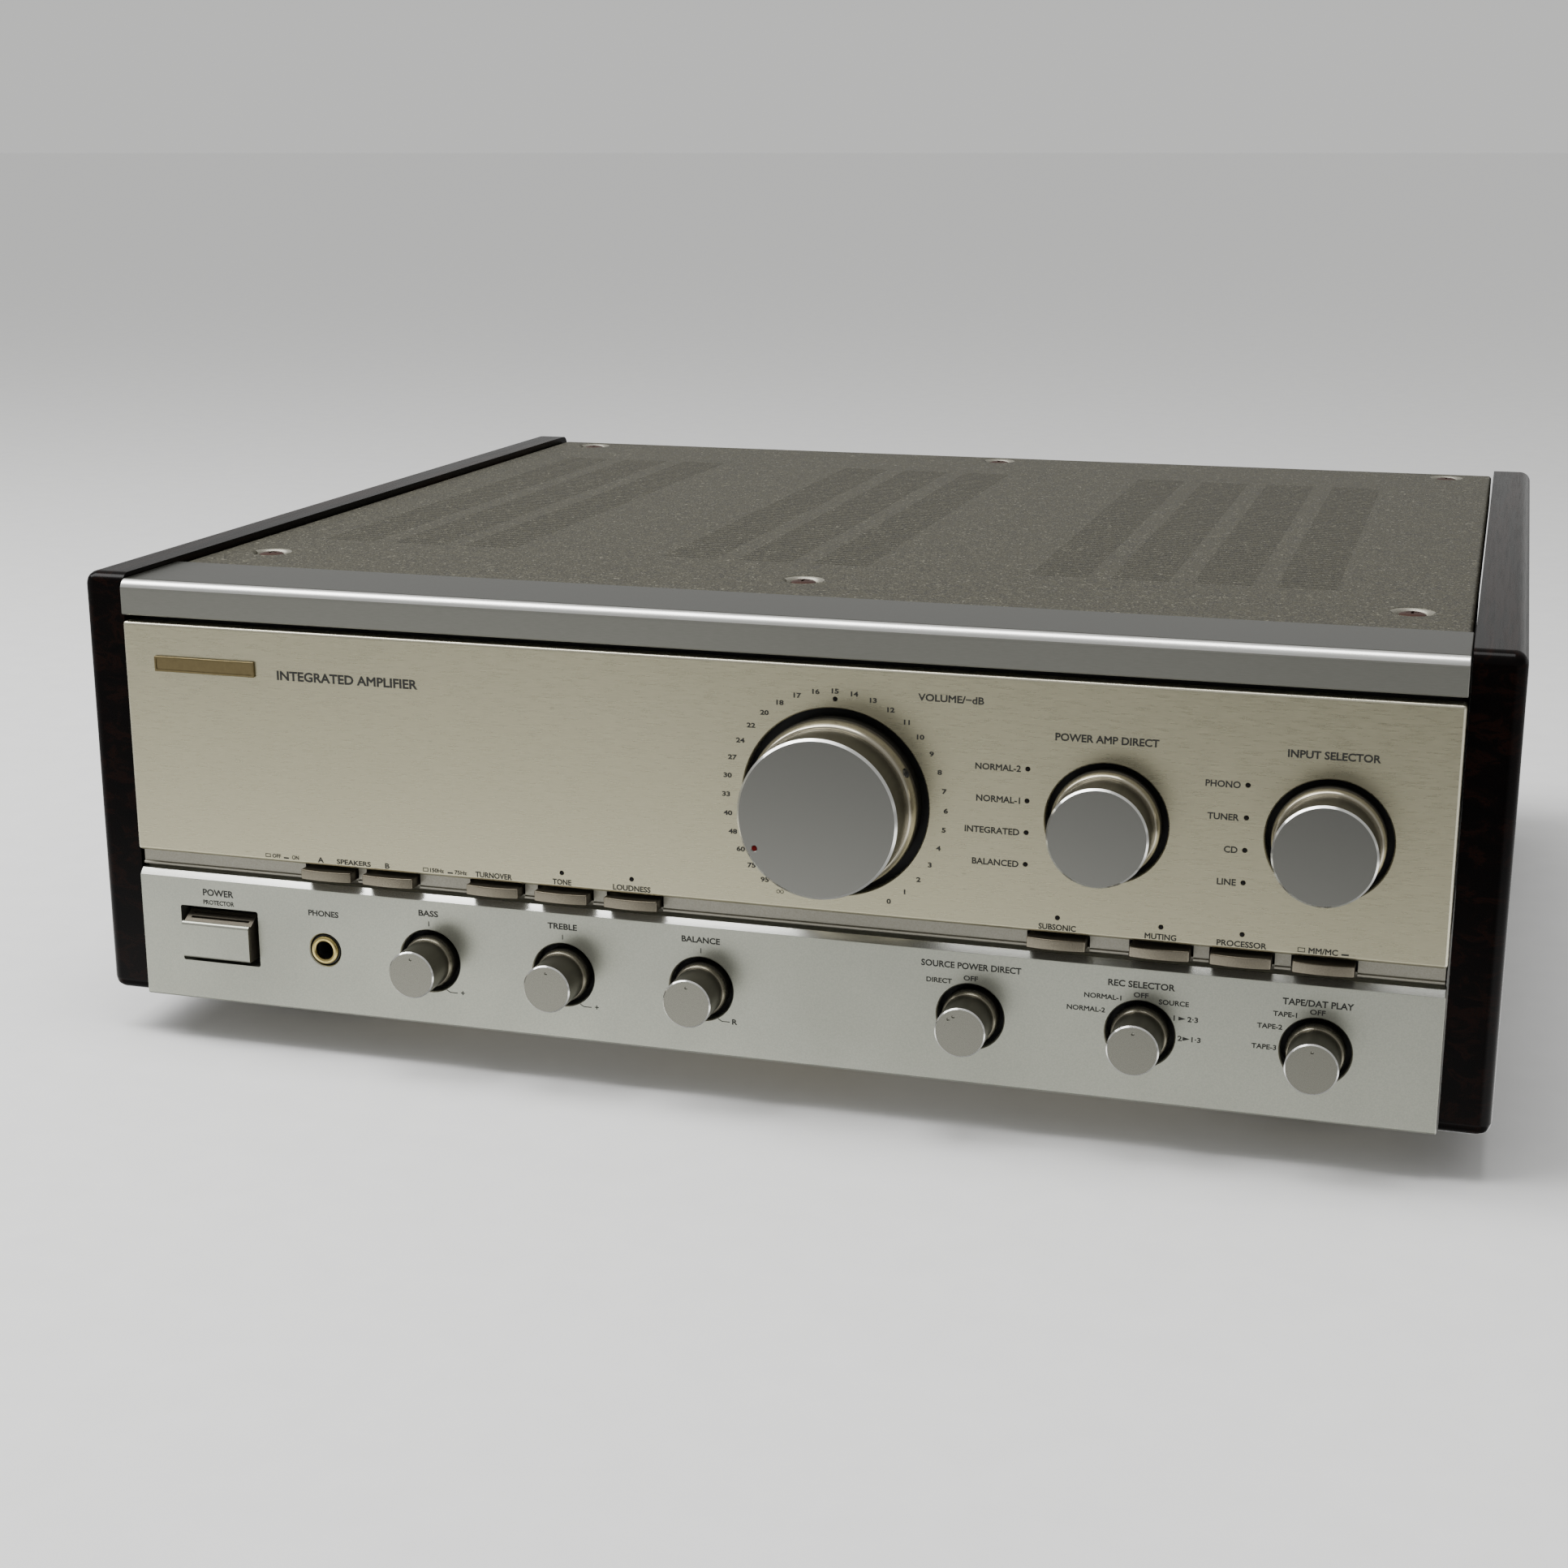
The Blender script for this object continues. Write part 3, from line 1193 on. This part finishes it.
def phono_sockets():
    node = "phono_socket_block"
    low = span(node)[0]
    plate, inner, outer = connector_plate(node)
    profile = from_level(
        outer, (0, 1.0), (1.6, 1.0), (1.6, 8.6), (3.0, 8.6), (3.0, 9.3), (3.2, 9.5), (4.0, 9.5),
        (4.2, 9.2), (4.2, 2.2), (5.4, 2.2), (5.7, 1.9), (5.7, -0.3), (0, -0.3),
    )
    parts = [plate, inner]
    for column in range(7):
        for up, shade in zip(PHONO_ROWS, (3, 2)):
            middle = (low.x + PHONO_LEFT + PHONO_PITCH * column, low.z + up)
            parts.append(turned(profile, middle, 40, slots=[shade] * 4 + [1] * 8))
    surfaces = [BLACK, NICKEL, WHITE, RED]
    piece("phono_sockets", merged(parts), surfaces, nodes=[node])


def loudspeaker_posts():
    node = "speaker_terminal_block"
    low, high = span(node)
    plate, inner, outer = connector_plate(node)
    profile = from_level(high.y, (0, -0.6), (2.4, -0.6), (2.8, 0), (5.6, 0), (6.8, -1.2))
    profile += from_level(
        outer, (6.8, 5.2), (6.0, 4.6), (3.2, 4.4), (3.2, 1.6), (7.4, 1.6), (7.6, 1.2), (7.6, -0.3), (0, -0.3)
    )
    parts = [plate, inner]
    for column in range(4):
        for up, shade in ((16.0, 0), (38.0, 2)):
            middle = (low.x + 19.0 + 35.3 * column, low.z + up)
            parts.append(knurled(profile, middle, 20, 0.55, 5.0, [shade] * 7 + [1] + [shade] * 4))
    surfaces = [BLACK, NICKEL, RED]
    piece("loudspeaker_posts", merged(parts), surfaces, nodes=[node])


def mains_outlets():
    node = "mains_outlet_block"
    low = span(node)[0]
    plate, inner, outer = connector_plate(node)
    body = as_object("outlets", plate)
    recesses, slits = [], []
    for column in range(2):
        for up in (17.0, 41.0):
            x, z = low.x + 20.0 + 30.0 * column, low.z + up
            recess = box(around(x, 11), (outer - 0.8, outer + 1), around(z, 7.5))
            recesses.append(round_edges(recess, 3.0, 6))
            for aside in (-5.5, 5.5):
                slits.append(box(around(x + aside, 0.9), (outer - 3.8, outer + 1), around(z, 3.6)))
    cut(body, merged(recesses))
    cut(body, merged(slits))
    joined(body, inner)
    piece("mains_outlets", body, [BLACK], nodes=[node])


def screw_head(x, z, plane, radius):
    """Pan head on a rear-facing plane, with the cross to cut into it."""
    profile = from_level(
        plane, (0, radius * 0.62), (radius * 0.55, radius * 0.6), (radius * 0.88, radius * 0.42),
        (radius, radius * 0.15), (radius, -0.2), (0, -0.2),
    )
    bars = []
    for wide, tall in ((0.55, 0.13), (0.13, 0.55)):
        bars.append(box(
            around(x, radius * wide), (plane + radius * 0.3, plane + radius), around(z, radius * tall)
        ))
    return turned(profile, (x, z), 32), *bars


def rear_screws():
    """Screws round the rear panel and at the corners of the connector plates."""
    low, high = span("rear_panel")
    panel_head, plate_head, inset = 2.6, 2.0, 3.8
    spots = [(x, high.z - 4.5, REAR, panel_head) for x in (209.0, 40.0, -90.0, -200.0)]
    spots += [(x, low.z + 6.0, REAR, panel_head) for x in (205.0, 70.0, -70.0, -205.0)]
    spots += [(x, (low.z + high.z) / 2 - 8.0, REAR, panel_head) for x in (209.0, -209.0)]
    for node, plate in PLATES.items():
        first, last = span(node)
        for x in (first.x + inset, last.x - inset):
            for z in (first.z + inset, last.z - inset):
                spots.append((x, z, REAR + PLATE_GAP + plate, plate_head))
    heads, tall, wide = zip(*(screw_head(*spot) for spot in spots))
    body = as_object("screws", merged(heads))
    cut(body, merged(tall))
    cut(body, merged(wide))
    piece("rear_panel_screws", body, [DARK_SCREW], angle=30)


def strain_relief():
    """Ribbed rubber gland where the mains cord would leave."""
    node = "cord_gland"
    low, high = span(node)
    outer = REAR + PLATE_GAP
    profile = [(0, outer + 1), (3.4, outer + 1), (3.4, high.y), (5.4, high.y), (5.9, high.y - 0.5)]
    for ring in range(3):
        start = high.y - 1.4 - 1.9 * ring
        wider = 0.35 * ring
        profile += [(6.1 + wider, start), (5.2 + wider, start - 0.3)]
        profile += [(5.3 + wider, start - 1.1), (6.4 + wider, start - 1.3)]
    profile += [(8.4, outer + 1.6), (8.4, outer), (5.7, outer), (5.7, low.y), (0, low.y)]
    mesh = turned(profile, seen(node), 64)
    piece("cord_strain_relief", mesh, [RUBBER], nodes=[node])


def rear_labels():
    made = Print(REAR, 1)
    low, high = span("phono_socket_block")
    for column, word in enumerate(("PHONO", "CD", "TUNER", "LINE", "TAPE-1", "TAPE-2", "TAPE-3")):
        made.text(word, low.x + PHONO_LEFT + PHONO_PITCH * column, high.z + 3.6, 2.2)
    for up, word in zip(PHONO_ROWS, "RL"):
        made.text(word, low.x - 4.0, low.z + up, 2.8)
    for node, word in (("speaker_terminal_block", "SPEAKERS"), ("mains_outlet_block", "AC OUTLETS")):
        low, high = span(node)
        made.text(word, (low.x + high.x) / 2, high.z + 4.2, 2.8)
    made.finish("rear_lettering", PALE_INK)


def rubber_feet():
    """Dished plastic feet with a rubber ring underneath."""
    for node in named("foot_"):
        low, high = span(node)
        middle = centre(node)
        radius = (high.x - low.x) / 2
        profile = from_level(
            low.z, (0, 0.6), (radius - 8.0, 0.6), (radius - 7.4, 0), (radius - 4.2, 0), (radius - 3.6, 0.5),
            (radius - 3.4, 2.2), (radius - 2.2, 2.6), (radius - 1.6, 3.4),
        )
        profile += from_level(
            high.z, (radius - 1.0, -4.0), (radius - 0.3, -3.4), (radius, -2.6), (radius, 0), (0, 0)
        )
        mesh = turned(profile, (middle.x, middle.y), 96, "Z", [1] * 5 + [0] * 7)
        name = node.replace("foot", "ribbed_foot")
        piece(name, mesh, [BLACK, RUBBER], nodes=[node], angle=30)


def inner_parts():
    """Surfaces of the parts inside, which keep their plain shapes."""
    for surface, starts in (
        (STEEL, ("chassis_base", "side_frame", "volume_attenuator",
                 "direct_selector_switch", "input_selector_switch")),
        (BLACK_STEEL, ("front_subpanel", "rear_panel", "power_transformer")),
        (SLEEVE, ("reservoir_capacitor",)),
        (ALUMINIUM, ("heat_sink",)),
        (GREEN_BOARD, ("main_amplifier_board", "tone_control_board", "tape_selector_board",
                       "push_switch_board")),
    ):
        for node in named(starts):
            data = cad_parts[node].data
            data.materials.clear()
            data.materials.append(surface)


# -------- stage, light and camera, in metres

def floor():
    mesh = bmesh.new()
    half = 60.0
    corners = ((-half, -half, 0), (half, -half, 0), (half, half, 0), (-half, half, 0))
    mesh.faces.new([mesh.verts.new(corner) for corner in corners])
    made = as_object("floor", mesh)
    surface = Surface("floor_paper", (0.9, 0.9, 0.89), 0.0, 0.85)
    surface.tone = (0.89, 0.89, 0.885)
    surface.tint(surface.noise(60.0, 3.0, 0.5), (0.92, 0.92, 0.915), 0.3, 0.7)
    made.data.materials.append(surface.made)
    made.visible_glossy = False


# how bright the room is from straight down (-1) to straight up (1)
ROOM = (
    (-1.0, 0.3), (-0.65, 0.7), (-0.5, 2.3), (-0.345, 2.3), (-0.245, 0.48), (-0.06, 0.35),
    (-0.015, 0.66), (0.04, 0.66), (0.16, 0.42), (0.6, 0.45), (0.85, 0.6), (1.0, 0.6),
)
BRIGHTEST = 4.0
TALL = 1.6                            # the shaded part is this much wider than it is tall
SHADE = 0.12


def pale_room():
    """World that is brightest in a band below the horizon, with a shaded part behind the camera."""
    world = bpy.data.worlds.new("pale_room")
    world.use_nodes = True
    room = Tree(world.node_tree)
    direction = room.node("ShaderNodeTexCoord").outputs["Generated"]
    stops = []
    for up, radiance in ROOM:
        share = radiance / BRIGHTEST
        stops.append(((up + 1) / 2, (share, share, share * 0.985)))
    tone = room.ramp(room.spread(room.apart(direction)["Z"], -1.0, 1.0), stops, "EASE")
    taller = room.node("ShaderNodeVectorMath", operation="MULTIPLY")
    taller.inputs[1].default_value = (1.0, 1.0, TALL)
    room.link(direction, taller.inputs[0])
    away = room.node("ShaderNodeVectorMath", operation="DISTANCE")
    away.inputs[1].default_value = (0.12, -0.98, -0.18 * TALL)
    room.link(taller.outputs["Vector"], away.inputs[0])
    smooth = {"interpolation_type": "SMOOTHSTEP"}
    power = room.spread(away.outputs["Value"], 0.12, 0.7, SHADE * BRIGHTEST, BRIGHTEST, **smooth)
    background = world.node_tree.nodes["Background"]
    room.link(tone, background.inputs["Color"])
    room.link(power, background.inputs["Strength"])
    bpy.context.scene.world = world


def lamp(name, kind, pointing, axis, **settings):
    """A light turned so that one of its axes points in a direction."""
    data = bpy.data.lights.new(name, kind)
    for key, value in settings.items():
        setattr(data, key, value)
    made = linked(name, data)
    made.rotation_euler = pointing.to_track_quat(axis, "Y").to_euler()
    return made


def lights():
    """Long softbox over the left of the amplifier and a broad lamp at the upper left."""
    place, aim = Vector((-0.8, -0.3, 1.5)), Vector((-0.4, -0.3, 0.0))
    size = {"shape": "RECTANGLE", "size": 0.7, "size_y": 2.6}
    lamp("long_softbox", "AREA", aim - place, "-Z", energy=42, **size).location = place
    lamp("upper_left_lamp", "SUN", Vector((-0.5, -0.2, 0.84)), "Z", energy=0.6, angle=math.radians(26))


def camera():
    data = bpy.data.cameras.new("camera")
    data.lens, data.sensor_width = 55.36, 36.0
    data.clip_start, data.clip_end = 0.02, 50.0
    made = linked("camera", data)
    made.location = (0.2224, -0.8950, 0.3035)
    made.rotation_euler = (math.radians(75.0), 0.0, math.radians(16.66))
    bpy.context.scene.camera = made


for build in (
    wood_panels, upper_plate, lamp_lenses, lower_plate, trim_bar, button_rail, lid, lid_screws,
    knobs, push_caps, power_cap, phones, plain_badge, upper_labels, lower_labels,
    phono_sockets, loudspeaker_posts, mains_outlets, strain_relief, rear_labels, rear_screws,
    rubber_feet, inner_parts, floor, pale_room, lights, camera,
):
    build()

bpy.context.view_layer.update()
